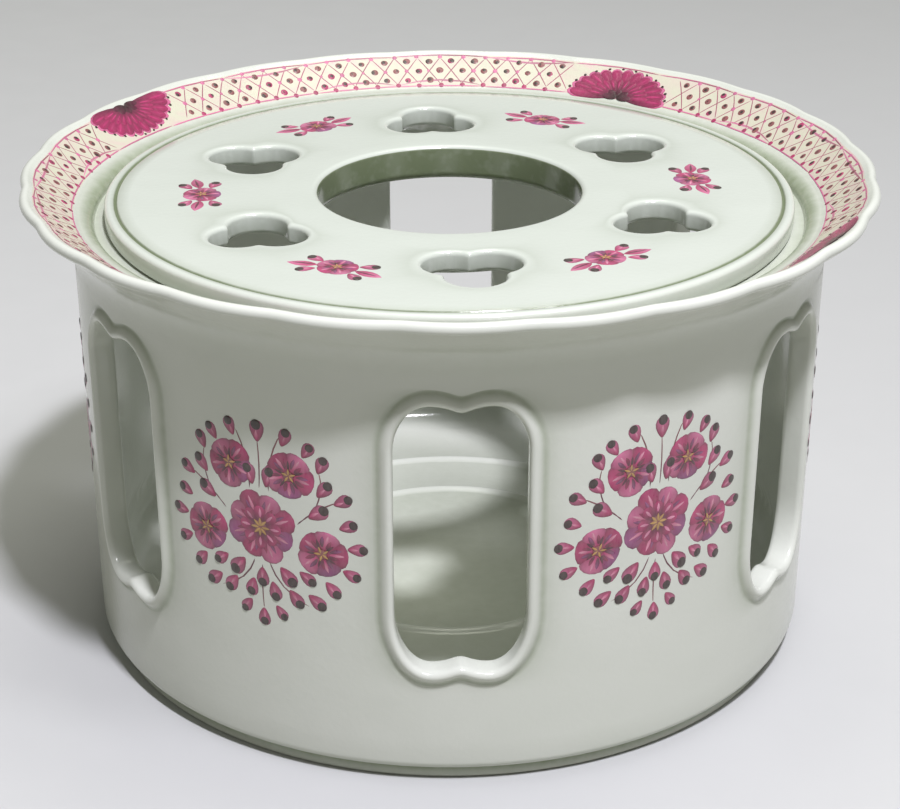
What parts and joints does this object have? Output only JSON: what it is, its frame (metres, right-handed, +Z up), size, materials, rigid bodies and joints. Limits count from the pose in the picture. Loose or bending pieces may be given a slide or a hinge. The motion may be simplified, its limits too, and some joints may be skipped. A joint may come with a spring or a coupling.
{
  "type": "warming stand",
  "caption": "Round porcelain warming stand with tall lobed windows, a scalloped flared rim and a pierced drop-in lid that carries a teapot over a small candle.",
  "frame": {"origin": "centre of the foot ring, on the surface the stand rests on", "axes": "+Z up along the stand's axis; -Y towards the front window; +X to the right"},
  "size_m": [0.1644, 0.1644, 0.0939],
  "materials": {
    "body_porcelain": "clear glossy glaze over white porcelain, faintly green where it pools",
    "lid_porcelain": "clear glossy glaze over white porcelain",
    "rim_band_enamel": "glossy fired overglaze enamel",
    "rim_rosettes_enamel": "glossy fired overglaze enamel",
    "wall_posies_enamel": "glossy fired overglaze enamel",
    "lid_sprigs_enamel": "glossy fired overglaze enamel"
  },
  "bodies": {
    "root": {"stand_body": "body_porcelain", "lid": "lid_porcelain", "rim_band": "rim_band_enamel", "rim_rosettes": "rim_rosettes_enamel", "wall_posies": "wall_posies_enamel", "lid_sprigs": "lid_sprigs_enamel"}
  },
  "joints": []
}
